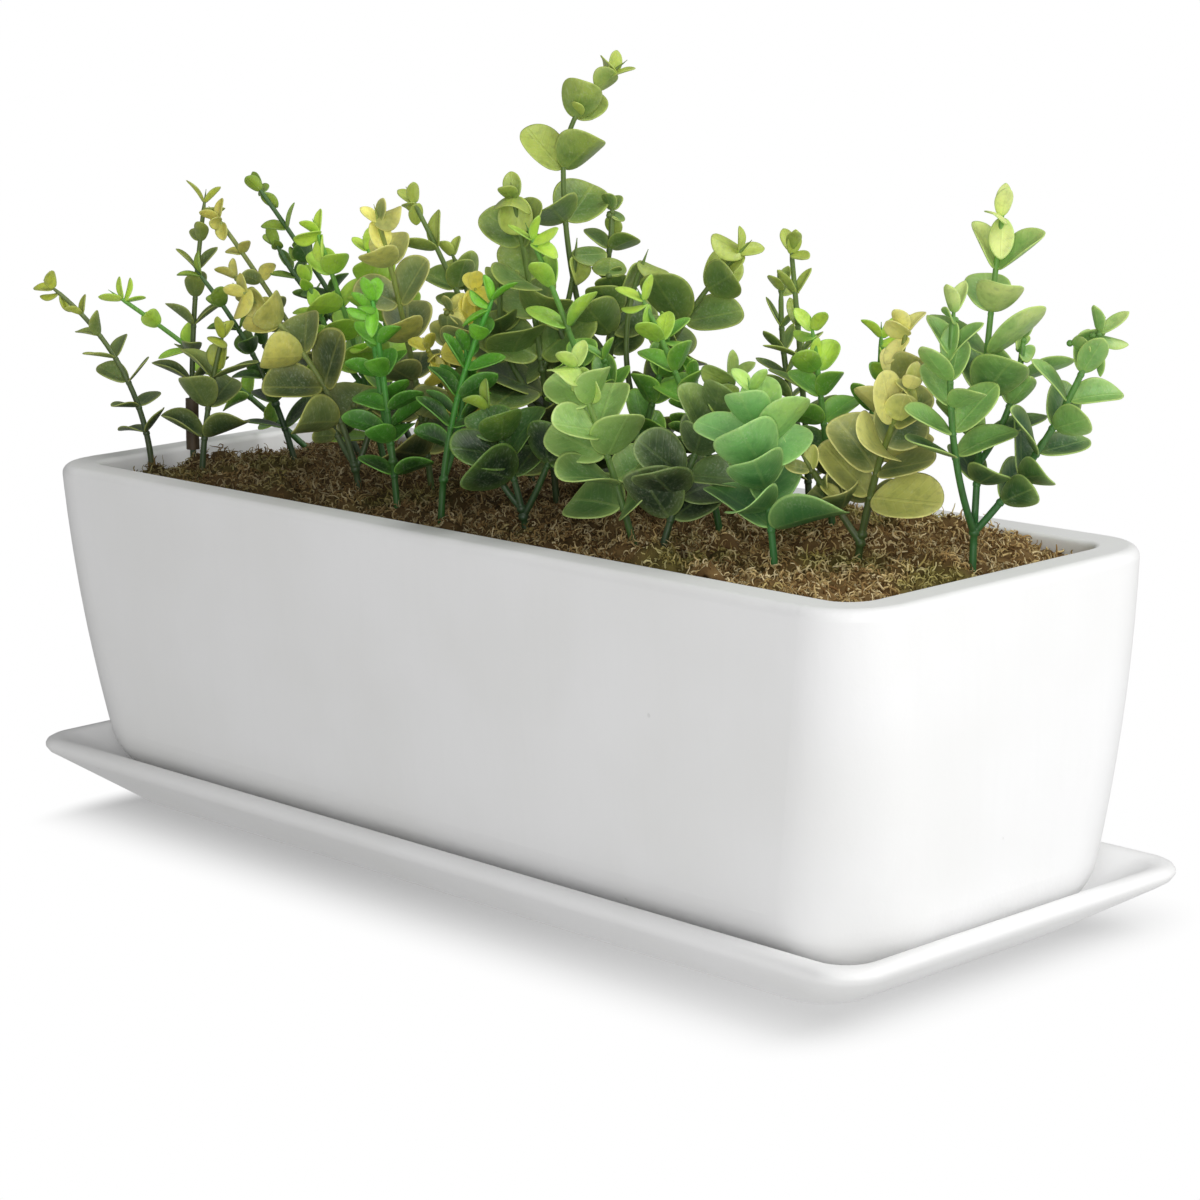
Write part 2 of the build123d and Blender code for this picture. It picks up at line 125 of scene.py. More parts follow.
# Leaves of a sprig: how far they turn their faces to the front right, and their length and width against the
# solid's
FACING_WAY = Vector((0.73, -0.64, 0.24))
LEAF_STANCE = {
    1: (0.0, 1.0, 1.05), 2: (0.1, 1.0, 1.0), 3: (0.2, 0.95, 1.0), 4: (0.1, 1.0, 1.05),
    5: (0.1, 0.95, 1.0), 6: (0.5, 0.85, 1.0), 7: (0.15, 0.95, 1.0), 8: (0.45, 0.85, 1.0),
    9: (0.3, 0.95, 1.0), 10: (0.45, 0.85, 1.0), 11: (0.4, 0.9, 1.0), 12: (0.3, 1.05, 1.05),
    13: (0.5, 0.9, 1.05), 14: (0.3, 1.05, 1.05), 15: (0.3, 1.0, 1.0), 16: (0.55, 0.95, 1.15),
    17: (0.45, 0.85, 1.05), 18: (0.45, 1.0, 1.15), 19: (0.55, 1.05, 1.25), 20: (0.5, 0.95, 1.1),
    21: (0.3, 1.0, 1.0), 22: (0.45, 0.95, 1.1), 23: (0.35, 0.95, 1.05), 24: (0.1, 1.0, 1.0),
    25: (0.35, 1.0, 1.05), 26: (0.5, 0.95, 1.15), 27: (0.25, 1.15, 1.05),
}

# Tips: how far a bud reaches past a branch's last pair at the most, how well it goes on along the pair's
# axis, and its reach where none is found
BUD_REACH = 20 * MM
BUD_ALIGNED = 0.92
BUD_SHORT = 4 * MM
# A bud longer than this gets a pair of its own, and on a shorter one the last pair moves up
BUD_LONG = 10.5 * MM
OWN_PAIR_AT = 0.7
LAST_PAIR_AT = 0.5
# Rise, length and half width of a pair on a bud
TIP_RISE = 0.95
TIP_LENGTH = 6.6 * MM
TIP_HALF = 1.7 * MM

# Camera, from a fit to the rim and the saucer
CAMERA_PLACE = (0.62605, -0.5505, 0.2443)
CAMERA_YAW = 47.915
CAMERA_PITCH = 12.016
CAMERA_ROLL = -1.656
CAMERA_LENS = 101.66
CAMERA_SENSOR = 36

# Lamps: place, size in metres and power in watts, and the point that they look at
KEY_LAMP = ((1.3, 0.6, 1.55), 1.5, 27.0)
FILL_LAMP = ((1.4, -1.4, 0.5), 0.9, 16.5)
LAMP_AIM = (0, 0, 0.08)
WORLD_LEVEL = 0.28

# Floor: size, grey, and its glow from left to right, as two places along X and the strengths there; the glow
# is painted light that shines up onto the object and into its shadow, more to the right
FLOOR_SIZE = 4.0
FLOOR_GREY = 0.35
GLOW_PLACES = (-0.05, 0.25)
GLOW_LEVELS = (0.27, 0.45)
# The floor turns plain white away from the object: where that starts to count along X at the right and at the
# left, with its weight, where it starts along Y, and the distances between which it happens
WHITE_RIGHT = (0.135, 1.5)
WHITE_LEFT = (-0.128, 2.4)
WHITE_SIDES = 0.042
WHITE_BLEND = (-0.002, 0.036)

# Colours of a sprig, in display values: lowest leaves, middle leaves, tips, leaf edges, stem foot, stem top
PALETTES = {
    "dull": ((56, 78, 40), (106, 126, 68), (192, 204, 72), (164, 176, 92), (54, 74, 42), (108, 126, 64)),
    "olive": ((56, 74, 38), (112, 130, 72), (222, 214, 104), (190, 194, 102), (56, 76, 44), (144, 158, 80)),
    "fresh": ((48, 92, 35), (106, 168, 58), (196, 230, 80), (168, 212, 88), (48, 92, 38), (108, 168, 64)),
    "spring": ((78, 126, 44), (160, 208, 68), (206, 238, 84), (188, 224, 92), (52, 96, 38), (114, 174, 62)),
    "vivid": ((30, 64, 20), (70, 138, 36), (138, 214, 54), (118, 182, 66), (40, 84, 28), (88, 174, 60)),
    "dark": ((24, 46, 22), (58, 98, 38), (154, 182, 62), (112, 146, 62), (36, 60, 30), (68, 106, 46)),
    "mossy": ((42, 62, 32), (98, 130, 62), (188, 206, 92), (178, 196, 96), (54, 74, 38), (114, 140, 66)),
    "yellow": (
        (96, 112, 46), (212, 206, 76), (250, 238, 100), (244, 236, 120), (96, 110, 48), (180, 180, 66)
    ),
    "cream": ((58, 78, 44), (122, 142, 84), (254, 246, 128), (226, 226, 132), (70, 92, 44), (150, 166, 78)),
    "butter": (
        (82, 106, 58), (198, 202, 106), (255, 249, 152), (240, 236, 144), (70, 92, 44), (150, 164, 76)
    ),
    "pale": ((84, 120, 60), (144, 184, 96), (204, 230, 118), (196, 222, 128), (78, 110, 52), (144, 180, 88)),
    "mint": ((68, 124, 64), (132, 192, 108), (190, 230, 112), (178, 220, 128), (60, 122, 60), (124, 184, 92)),
    "grey": ((38, 56, 32), (86, 112, 64), (200, 226, 110), (150, 176, 100), (50, 74, 40), (104, 134, 66)),
    "lime": ((50, 92, 46), (128, 176, 90), (232, 242, 152), (192, 220, 122), (56, 110, 54), (122, 172, 78)),
}
# How much the leaves of a sprig differ in colour, and where it is more than usual
USUAL_SPREAD = 0.45
LEAF_SPREAD = {"leaf_butter": 1.3, "leaf_olive": 0.7, "leaf_cream": 0.7, "leaf_yellow": 0.8}
# The sprigs of each palette
PALETTE_SPRIGS = {
    "dull": (1, 2, 4), "olive": (6, 8), "fresh": (15, 21, 25), "spring": (3, 9), "vivid": (12, 14),
    "dark": (5, 7, 18), "mossy": (11, 17, 19, 20, 24), "yellow": (13,), "cream": (10,), "butter": (26,),
    "pale": (16,), "mint": (23,), "grey": (22,), "lime": (27,),
}


def tint(red, green, blue):
    """A colour written in display values from 0 to 255, as linear RGBA."""
    def linear(value):
        value /= 255
        return value / 12.92 if value <= 0.04045 else ((value + 0.055) / 1.055) ** 2.4

    return (linear(red), linear(green), linear(blue), 1.0)


class Nodes:
    """Adds nodes to a material's or a group's tree. A value is a socket to link or a constant to set."""

    def __init__(self, tree):
        self.tree = tree

    def put(self, socket, value):
        if isinstance(value, bpy.types.NodeSocket):
            self.tree.links.new(value, socket)
        else:
            socket.default_value = value

    def add(self, kind, inputs=None, **settings):
        node = self.tree.nodes.new(kind)
        for name, value in settings.items():
            setattr(node, name, value)
        for key, value in (inputs or {}).items():
            self.put(node.inputs[key], value)
        return node

    def math(self, operation, a, b=0.0, c=0.0):
        node = self.add("ShaderNodeMath", operation=operation)
        for socket, value in zip(node.inputs, (a, b, c)):
            self.put(socket, value)
        return node.outputs[0]

    def mix(self, share, a, b):
        node = self.add("ShaderNodeMix", data_type="RGBA")
        self.put(node.inputs[0], share)
        self.put(node.inputs[6], a)
        self.put(node.inputs[7], b)
        return node.outputs[2]

    def range(self, value, low, high, to_low=0.0, to_high=1.0, smooth=True):
        kind = "SMOOTHSTEP" if smooth else "LINEAR"
        inputs = {"Value": value, "From Min": low, "From Max": high, "To Min": to_low, "To Max": to_high}
        return self.add("ShaderNodeMapRange", inputs, interpolation_type=kind).outputs[0]

    def noise(self, vector, scale, detail=3.0, rough=0.5):
        inputs = {"Vector": vector, "Scale": scale, "Detail": detail, "Roughness": rough}
        return self.add("ShaderNodeTexNoise", inputs).outputs[0]

    def cells(self, vector, scale):
        return self.add("ShaderNodeTexVoronoi", {"Vector": vector, "Scale": scale}).outputs["Distance"]

    def place(self):
        return self.add("ShaderNodeTexCoord").outputs["Object"]

    def stretched(self, vector, scale):
        return self.add("ShaderNodeMapping", {"Vector": vector, "Scale": scale}).outputs[0]

    def attribute(self, name):
        return self.add("ShaderNodeAttribute", attribute_name=name).outputs["Fac"]

    def ramp(self, value, stops):
        node = self.add("ShaderNodeValToRGB", {"Fac": value})
        marks = node.color_ramp.elements
        marks.remove(marks[1])
        marks[0].position = stops[0][0]
        marks[0].color = tint(*stops[0][1])
        for at, colour in stops[1:]:
            marks.new(at).color = tint(*colour)
        return node.outputs[0]

    def bump(self, height, strength, distance):
        inputs = {"Height": height, "Strength": strength, "Distance": distance}
        return self.add("ShaderNodeBump", inputs).outputs[0]


def new_material(name, **values):
    """A material with a Principled BSDF, and the means to add nodes to it."""
    material = bpy.data.materials.new(name)
    material.use_nodes = True
    shader = material.node_tree.nodes["Principled BSDF"]
    for key, value in values.items():
        shader.inputs[key.replace("_", " ")].default_value = value
    return material, Nodes(material.node_tree), shader


def ceramic_material():
    """Matte white glaze: faint upright brush marks, a fine tooth and a few pinholes."""
    material, nodes, shader = new_material("white_ceramic", Specular_IOR_Level=0.35)
    place = nodes.place()
    waves = nodes.noise(place, 24.0, 2.0)
    brush = nodes.noise(nodes.stretched(place, (420.0, 420.0, 26.0)), 1.0, 3.0)
    tooth = nodes.noise(place, 1100.0, 3.0)
    pits = nodes.range(nodes.cells(place, 42.0), 0.014, 0.03)
    colour = nodes.mix(nodes.range(waves, 0.3, 0.7), tint(239, 239, 238), tint(243, 243, 243))
    colour = nodes.mix(nodes.range(brush, 0.45, 0.75, 0.0, 0.06), colour, tint(232, 232, 231))
    colour = nodes.mix(nodes.range(pits, 0.0, 1.0, 0.25, 0.0), colour, tint(180, 180, 177))
    nodes.put(shader.inputs["Base Color"], colour)
    nodes.put(shader.inputs["Roughness"], nodes.range(brush, 0.2, 0.8, 0.5, 0.64))
    height = nodes.math("MULTIPLY_ADD", tooth, 0.2, nodes.math("MULTIPLY", brush, 0.06))
    height = nodes.math("MULTIPLY_ADD", nodes.noise(place, 260.0, 2.0), 0.3, height)
    height = nodes.math("MULTIPLY_ADD", pits, 0.35, height)
    nodes.put(shader.inputs["Normal"], nodes.bump(height, 0.3, 0.0004))
    return material


def foam_material():
    """Dry floral foam: brownish green with fine open cells."""
    material, nodes, shader = new_material("dry_foam", Roughness=0.95)
    place = nodes.place()
    cells = nodes.cells(place, 900.0)
    patches = nodes.noise(place, 60.0, 4.0)
    colour = nodes.mix(patches, tint(84, 92, 62), tint(112, 116, 82))
    colour = nodes.mix(nodes.range(cells, 0.2, 0.6), colour, tint(52, 56, 38))
    nodes.put(shader.inputs["Base Color"], colour)
    nodes.put(shader.inputs["Normal"], nodes.bump(cells, 0.6, 0.0005))
    return material


def stem_material(name, foot, top):
    """Moulded stem: darker at the foot, fresher at the tip, with a fine lengthwise grain."""
    material, nodes, shader = new_material(name, Roughness=0.5, Subsurface_Weight=0.1, Subsurface_Scale=MM)
    place = nodes.place()
    grain = nodes.noise(nodes.stretched(place, (1400.0, 1400.0, 130.0)), 1.0, 3.0)
    patches = nodes.noise(place, 70.0, 2.0)
    colour = nodes.mix(nodes.range(nodes.attribute("age"), 0.05, 0.95), tint(*foot), tint(*top))
    colour = nodes.mix(nodes.range(patches, 0.5, 0.75, 0.0, 0.35), colour, tint(92, 88, 50))
    colour = nodes.mix(nodes.range(grain, 0.35, 0.75, 0.0, 0.3), colour, tint(30, 40, 20))
    nodes.put(shader.inputs["Base Color"], colour)
    nodes.put(shader.inputs["Normal"], nodes.bump(grain, 0.4, 0.0002))
    return material


def sleeve_material():
    """Dark brown plastic sleeve with a bark-like grain."""
    material, nodes, shader = new_material("sleeve_brown", Roughness=0.6)
    place = nodes.place()
    grain = nodes.noise(nodes.stretched(place, (1200.0, 1200.0, 160.0)), 1.0, 4.0)
    nodes.put(shader.inputs["Base Color"], nodes.mix(grain, tint(48, 38, 28), tint(92, 76, 52)))
    nodes.put(shader.inputs["Normal"], nodes.bump(grain, 0.6, 0.0003))
    return material


def moss_material():
    """Dried moss: tan, brown and olive strands, by strand and patch, with painted shade deep down between the
    clumps and to the left.
    """
    material, nodes, shader = new_material("dried_moss", Roughness=0.9, Specular_IOR_Level=0.2)
    place = nodes.place()
    strand = nodes.attribute("strand")
    patches = nodes.noise(place, 42.0, 3.0)
    fine = nodes.noise(place, 1600.0, 2.0)
    tan = ((0.0, (112, 82, 46)), (0.3, (172, 140, 88)), (0.65, (216, 190, 132)), (1.0, (244, 226, 180)))
    olive = ((0.0, (96, 96, 40)), (0.5, (170, 166, 86)), (1.0, (220, 214, 138)))
    green_share = nodes.range(patches, 0.52, 0.66, 0.0, 0.7)
    colour = nodes.mix(green_share, nodes.ramp(strand, tan), nodes.ramp(strand, olive))
    # Painted shade: strands low on their clump, and the matted ground, are mixed towards dark brown for the
    # shade in the creases
    colour = nodes.mix(nodes.range(nodes.attribute("lift"), 0.05, 0.7, 0.5, 0.0), colour, tint(62, 46, 26))
    colour = nodes.mix(nodes.range(fine, 0.4, 0.8, 0.0, 0.25), colour, tint(60, 42, 22))
    # Painted shade: the moss is mixed towards dark brown to the left, for the shadow of the denser foliage
    # over it
    along = nodes.add("ShaderNodeSeparateXYZ", {"Vector": place}).outputs[0]
    colour = nodes.mix(nodes.range(along, -0.02, 0.13, 0.6, 0.0), colour, tint(44, 36, 20))
    nodes.put(shader.inputs["Base Color"], colour)
    nodes.put(shader.inputs["Normal"], nodes.bump(fine, 0.5, 0.0003))
    return material


def leaf_group():
    """Paint of a moulded leaf: darker at the foot of a sprig, paler to the edge, veins, a whitish bloom."""
    group = bpy.data.node_groups.new("leaf_paint", "ShaderNodeTree")
    for name in ("Low", "Middle", "Tip", "Edge"):
        group.interface.new_socket(name, in_out="INPUT", socket_type="NodeSocketColor")
    group.interface.new_socket("Color", in_out="OUTPUT", socket_type="NodeSocketColor")
    group.interface.new_socket("Spread", in_out="INPUT", socket_type="NodeSocketFloat")
    for name in ("Roughness", "Height"):
        group.interface.new_socket(name, in_out="OUTPUT", socket_type="NodeSocketFloat")
    nodes = Nodes(group)
    given = nodes.add("NodeGroupInput").outputs
    result = nodes.add("NodeGroupOutput").inputs
    place = nodes.place()
    age = nodes.attribute("age")
    chance = nodes.attribute("chance")
    rim = nodes.attribute("rim")
    leaf_map = nodes.add("ShaderNodeUVMap", uv_map="leaf").outputs[0]
    uv = nodes.add("ShaderNodeSeparateXYZ", {"Vector": leaf_map}).outputs
    across = nodes.math("ABSOLUTE", nodes.math("SUBTRACT", uv[0], 0.5))
    blotch = nodes.noise(place, 240.0, 3.0)
    young = nodes.math("MULTIPLY_ADD", nodes.math("SUBTRACT", chance, 0.5), given["Spread"], age)
    young = nodes.math("MULTIPLY_ADD", nodes.math("SUBTRACT", uv[1], 0.5), 0.22, young)
    young = nodes.math("MULTIPLY_ADD", nodes.math("SUBTRACT", blotch, 0.5), 0.35, young)
    colour = nodes.mix(nodes.range(young, 0.0, 0.5), given["Low"], given["Middle"])
    colour = nodes.mix(nodes.range(young, 0.55, 1.05), colour, given["Tip"])
    colour = nodes.mix(nodes.range(rim, 0.45, 1.0, 0.0, 0.3), colour, given["Edge"])
    slant = nodes.math("MULTIPLY_ADD", across, -0.55, uv[1])
    side_veins = nodes.range(nodes.math("SINE", nodes.math("MULTIPLY", slant, 46.0)), 0.7, 1.0)
    midrib = nodes.range(across, 0.012, 0.04, 1.0, 0.0)
    veins = nodes.math("MAXIMUM", midrib, nodes.math("MULTIPLY", side_veins, 0.3))
    colour = nodes.mix(nodes.math("MULTIPLY", veins, 0.17), colour, given["Edge"])
    colour = nodes.mix(nodes.range(rim, 0.93, 0.99, 0.0, 0.65), colour, given["Edge"])
    mottle = nodes.noise(place, 520.0, 4.0, 0.6)
    colour = nodes.mix(nodes.range(mottle, 0.45, 0.7, 0.0, 0.22), colour, given["Low"])
    dust = nodes.noise(nodes.stretched(place, (1900.0, 1900.0, 900.0)), 1.0, 4.0, 0.6)
    bloom_share = nodes.range(blotch, 0.35, 0.75, 0.06, 0.26)
    bloom = nodes.math("MULTIPLY", nodes.range(dust, 0.48, 0.72), bloom_share)
    colour = nodes.mix(bloom, colour, tint(214, 222, 196))
    nodes.put(result["Color"], colour)
    nodes.put(result["Roughness"], nodes.range(blotch, 0.2, 0.8, 0.34, 0.54))
    nodes.put(result["Height"], nodes.math("MULTIPLY_ADD", veins, 0.7, nodes.math("MULTIPLY", dust, 0.3)))
    return group


def leaf_material(name, colours, group):
    """The leaf paint in the four leaf colours of a palette."""
    material, nodes, shader = new_material(name, Subsurface_Weight=0.04, Subsurface_Scale=MM)
    paint = nodes.add("ShaderNodeGroup", node_tree=group)
    for socket, colour in zip(("Low", "Middle", "Tip", "Edge"), colours):
        paint.inputs[socket].default_value = tint(*colour)
    paint.inputs["Spread"].default_value = LEAF_SPREAD.get(name, USUAL_SPREAD)
    nodes.put(shader.inputs["Base Color"], paint.outputs["Color"])
    nodes.put(shader.inputs["Roughness"], paint.outputs["Roughness"])
    nodes.put(shader.inputs["Normal"], nodes.bump(paint.outputs["Height"], 0.35, 0.0003))
    return material


def add_piece(name, work, material, body, node):
    """A finished mesh as a piece of the object, standing for a CAD node."""
    mesh = bpy.data.meshes.new(name)
    work.to_mesh(mesh)
    work.free()
    piece = bpy.data.objects.new(name, mesh)
    bpy.context.scene.collection.objects.link(piece)
    mesh.materials.append(material)
    for face in mesh.polygons:
        face.use_smooth = True
    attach(piece, body)
    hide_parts(node)
    return piece


def add_ring(work, half, z, corner):
    """A ring of points round a rectangle with rounded corners. Gives its points and edges."""
    count = 4 * CORNER_STEPS
    verts = bmesh.ops.create_circle(work, cap_ends=False, segments=count, radius=1.0)["verts"]
    for i, v in enumerate(verts):
        quarter, step = divmod(i, CORNER_STEPS)
        angle = (quarter + step / (CORNER_STEPS - 1)) * math.pi / 2
        side_x = 1 if quarter in (0, 3) else -1
        side_y = 1 if quarter in (0, 1) else -1
        x = side_x * (half.x - corner) + corner * math.cos(angle)
        v.co = (x, side_y * (half.y - corner) + corner * math.sin(angle), z)
    return verts, list(dict.fromkeys(edge for v in verts for edge in v.link_edges))


def make_saucer(material):
    """The saucer with its tight corners, sides that flare right up to the lip, and a shallow well."""
    low, high = (Vector(corner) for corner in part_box("saucer"))
    work = bmesh.new()
    rings = []
    for end_inset, side_inset, z, corner in SAUCER_PROFILE:
        half = (high - low) / 2 - Vector((end_inset, side_inset, 0)) * MM
        rings.append(add_ring(work, half, z * MM, corner * MM))
    for below, above in zip(rings, rings[1:]):
        bmesh.ops.bridge_loops(work, edges=below[1] + above[1])
    for verts, edges in (rings[0], rings[-1]):
        bmesh.ops.contextual_create(work, geom=edges)
    bmesh.ops.recalc_face_normals(work, faces=work.faces[:])
    piece = add_piece("saucer_look", work, material, "saucer", "saucer")
    piece.modifiers.new("flat_sides", "WEIGHTED_NORMAL")
    return piece


@dataclass
class LeafPair:
    """Where a leaf pair sits: its centre on the stem, the stem's way, the blades' way, rise and size."""

    centre: Vector
    axis: Vector
    across: Vector
    rise: float
    length: float
    half_width: float

    def follows(self, other):
        """Whether this pair stands further along the same stem as another."""
        step = self.centre - other.centre
        ahead = step.dot(other.axis)
        aside = (step - other.axis * ahead).length
        near = aside < NEXT_ASIDE[0] * ahead + NEXT_ASIDE[1]
        return ahead > NEXT_AHEAD and near and self.axis.dot(other.axis) > NEXT_ALIGNED

    def between(self, other, share):
        """A pair on the stem between this one and another, turned crosswise to this one."""
        axis = self.axis.lerp(other.axis, share).normalized()
        across = axis.cross(self.across).normalized()
        centre = self.centre.lerp(other.centre, share)
        here = np.array((self.rise, self.length, self.half_width))
        there = np.array((other.rise, other.length, other.half_width))
        return LeafPair(centre, axis, across, *(here * (1 - share) + there * share))


def read_pair(points, triangles):
    """The place and size of a CAD leaf pair, from its own triangles."""
    corners = points[triangles]
    areas = np.linalg.norm(np.cross(corners[:, 1] - corners[:, 0], corners[:, 2] - corners[:, 0]), axis=1)
    middle = (corners.mean(axis=1) * areas[:, None]).sum(axis=0) / areas.sum()
    apart = np.linalg.norm(points[:, None] - points[None], axis=2)
    a, b = np.unravel_index(apart.argmax(), apart.shape)
    axis = Vector((points[a] + points[b]) / 2 - middle).normalized()
    if (points[a] - points[b]) @ np.array(FACING_WAY) < 0:
        a, b = b, a
    across = Vector(points[a] - points[b]).normalized()
    lowest = min((points - middle) @ np.array(axis))
    centre = Vector(middle) + axis * (lowest + EYELET_HALF)
    reach = Vector(points[a]) - centre
    rise = math.atan2(reach.dot(axis), reach.dot(across))
    half_width = np.abs((points - np.array(centre)) @ np.array(axis.cross(across))).max()
    return LeafPair(centre, axis, across, rise, reach.length, half_width)


def leaf_pairs(node):
    """The leaf pairs of a CAD node, each from its own island of triangles."""
    work = bmesh.new()
    work.from_mesh(node.data)
    bmesh.ops.remove_doubles(work, verts=work.verts[:], dist=MERGE_DISTANCE)
    bmesh.ops.triangulate(work, faces=work.faces[:])
    work.verts.index_update()
    seen = set()
    pairs = []
    for vertex in work.verts:
        if vertex in seen:
            continue
        island = {vertex}
        waiting = [vertex]
        while waiting:
            here = waiting.pop()
            near = {edge.other_vert(here) for edge in here.link_edges} - island
            island |= near
            waiting.extend(near)
        seen |= island
        order = {v: i for i, v in enumerate(sorted(island, key=lambda v: v.index))}
        faces = dict.fromkeys(f for v in order for f in v.link_faces)
        points = np.array([v.co[:] for v in order])
        triangles = np.array([[order[v] for v in f.verts] for f in faces])
        pairs.append(read_pair(points, triangles))
    work.free()
    return pairs


def bud_way(pair, stem_points):
    """The way from a branch's last pair to the end of its bud."""
    steps = [point - pair.centre for point in stem_points]
    near = [step for step in steps if step.length < BUD_REACH]
    ahead = [step for step in near if step.dot(pair.axis) > BUD_ALIGNED * step.length]
    return max(ahead, key=lambda step: step.length, default=pair.axis * BUD_SHORT)


def move_to_tip(pair, way):
    """Puts a branch's last pair on its bud, upright and not too small."""
    pair.centre = pair.centre + way * LAST_PAIR_AT
    pair.axis = way.normalized()
    pair.across = (pair.across - pair.axis * pair.across.dot(pair.axis)).normalized()
    pair.rise = max(pair.rise, TIP_RISE)
    pair.length = max(pair.length, TIP_LENGTH)
    pair.half_width = max(pair.half_width, TIP_HALF)


def fill_bare(pairs, stem_points):
    """The pairs from the foot upwards, with more of them on bare stretches and one at every tip."""
    ends = [pair for pair in pairs if not any(other.follows(pair) for other in pairs)]
    ways = [bud_way(pair, stem_points) for pair in ends]
    added = []
    for pair in pairs:
        after = [other for other in pairs if other.follows(pair)]
        if not after:
            continue
        next_pair = min(after, key=lambda other: (other.centre - pair.centre).length)
        gap = (next_pair.centre - pair.centre).length
        count = int(gap / PAIR_SPACING + 0.4) if gap < BARE_LIMIT else 0
        added += [pair.between(next_pair, step / count) for step in range(1, count)]
    for pair, way in zip(ends, ways):
        if way.length > BUD_LONG:
            axis = way.normalized()
            across = axis.cross(pair.across).normalized()
            centre = pair.centre + way * OWN_PAIR_AT
            added.append(LeafPair(centre, axis, across, TIP_RISE, TIP_LENGTH, TIP_HALF))
        else:
            move_to_tip(pair, way)
    return sorted(pairs + added, key=lambda pair: pair.centre.z)


def blade_ways(pair, side, facing, rng):
    """The ways along a blade, across it and up from its face, which is turned towards the front right."""
    rise = pair.rise + math.radians(rng.uniform(-RISE_PLAY, RISE_PLAY))
    sway = math.radians(rng.uniform(-SWAY_PLAY, SWAY_PLAY))
    twist = math.radians(rng.uniform(-TWIST_PLAY, TWIST_PLAY))
    along = pair.across * side * math.cos(sway) + pair.axis.cross(pair.across) * math.sin(sway)
    along = (along * math.cos(rise) + pair.axis * math.sin(rise)).normalized()
    sideways = Matrix.Rotation(twist, 3, along) @ pair.axis.cross(along).normalized()
    up = along.cross(sideways).normalized()
    front = (FACING_WAY - along * FACING_WAY.dot(along)).normalized()
    angle = math.atan2(up.cross(front).dot(along), up.dot(front))
    angle -= math.pi * round(angle / math.pi)
    turn = Matrix.Rotation(angle * facing * rng.uniform(*TURN_PLAY), 3, along)
    return along, turn @ sideways, turn @ up


def add_blade(work, layers, pair, side, age, stance, rng):
    """One cupped blade, from a narrow foot at the stem to a rounded end."""
    facing, longer, wider = stance
    along, sideways, up = blade_ways(pair, side, facing, rng)
    growth = 1 + TIP_GROWTH * age
    length = pair.length * growth * longer * rng.uniform(*LENGTH_PLAY)
    half = pair.half_width * growth * wider * rng.uniform(*WIDTH_PLAY)
    # A round blade is fuller at both ends than a narrow one
    roundness = min(max((half / length - 0.24) / 0.2, 0), 1)
    foot_power = 0.78 - 0.2 * roundness
    tip_power = 0.74 - 0.28 * roundness
    widest = foot_power / (foot_power + tip_power)
    full = widest ** foot_power * (1 - widest) ** tip_power
    cup = rng.uniform(*CUP_PLAY)
    fold = rng.uniform(*FOLD_PLAY)
    curl = rng.uniform(*CURL_PLAY)
    chance = rng.random()
    grid = bmesh.ops.create_grid(work, x_segments=BLADE_GRID, y_segments=BLADE_GRID, size=1.0)
    for v in grid["verts"]:
        x, y = v.co.x, v.co.y
        q = x * math.sqrt(1 - y * y / 2)
        p = y * math.sqrt(1 - x * x / 2)
        share = (p + 1) / 2
        chord = max(math.sqrt(max(1 - p * p, 0)), 0.1)
        body = half * share ** foot_power * max(1 - share, 0.004) ** tip_power / full
        wide = (q / chord) * (body + PETIOLE_HALF * (1 - share) ** 6)
        lift = cup * wide * wide / half + fold * abs(wide) + length * curl * share * share
        out = BLADE_START + (length - BLADE_START) * share
        v.co = pair.centre + along * out + sideways * wide + up * lift
        v[layers["age"]] = age
        v[layers["chance"]] = chance
        v[layers["rim"]] = min(math.hypot(p, q), 1.0)
        for loop in v.link_loops:
            loop[layers["uv"]].uv = (0.5 + 0.5 * q, share)


def make_leaves(name, pairs, material, stance, rng):
    """The leaves of one sprig, as cupped blades that know how high on the sprig they stand."""
    low = pairs[0].centre.z
    high = pairs[-1].centre.z
    work = bmesh.new()
    layers = {key: work.verts.layers.float.new(key) for key in ("age", "chance", "rim")}
    layers["uv"] = work.loops.layers.uv.new("leaf")
    for pair in pairs:
        age = (pair.centre.z - low) / max(high - low, MM)
        for side in (-1, 1):
            add_blade(work, layers, pair, side, age, stance, rng)
    piece = add_piece(name + "_look", work, material, "planting", name)
    solid = piece.modifiers.new("thickness", "SOLIDIFY")
    solid.thickness = BLADE_THICKNESS
    solid.offset = -1
    smooth = piece.modifiers.new("smooth", "SUBSURF")
    smooth.levels = smooth.render_levels = 1
    return piece


def make_stem(name, pairs, material):
    """The CAD stem, a little slimmer towards its top, with a collar under each of the lower pairs."""
    work = bmesh.new()
    work.from_mesh(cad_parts[name].data)
    bmesh.ops.remove_doubles(work, verts=work.verts[:], dist=MERGE_DISTANCE)
    work.normal_update()
    top = max(v.co.z for v in work.verts)
    layer = work.verts.layers.float.new("age")
    for v in work.verts:
        age = min(max((v.co.z - MOSS_LEVEL) / (top - MOSS_LEVEL), 0), 1)
        v.co += v.normal * (STEM_SWELL[0] + (STEM_SWELL[1] - STEM_SWELL[0]) * age)
        v[layer] = age
    for pair in pairs:
        age = min(max((pair.centre.z - MOSS_LEVEL) / (top - MOSS_LEVEL), 0), 1)
        if age > COLLAR_END:
            continue
        turn = Matrix.Translation(pair.centre) @ pair.axis.to_track_quat("Z", "Y").to_matrix().to_4x4()
        radius = COLLAR[0] + (COLLAR[1] - COLLAR[0]) * age
        shape = Matrix.Diagonal((radius, radius, radius, 1))
        place = turn @ shape
        collar = bmesh.ops.create_uvsphere(work, u_segments=10, v_segments=5, radius=1, matrix=place)
        for v in collar["verts"]:
            v[layer] = age
    return add_piece(name + "_look", work, material, "planting", name)


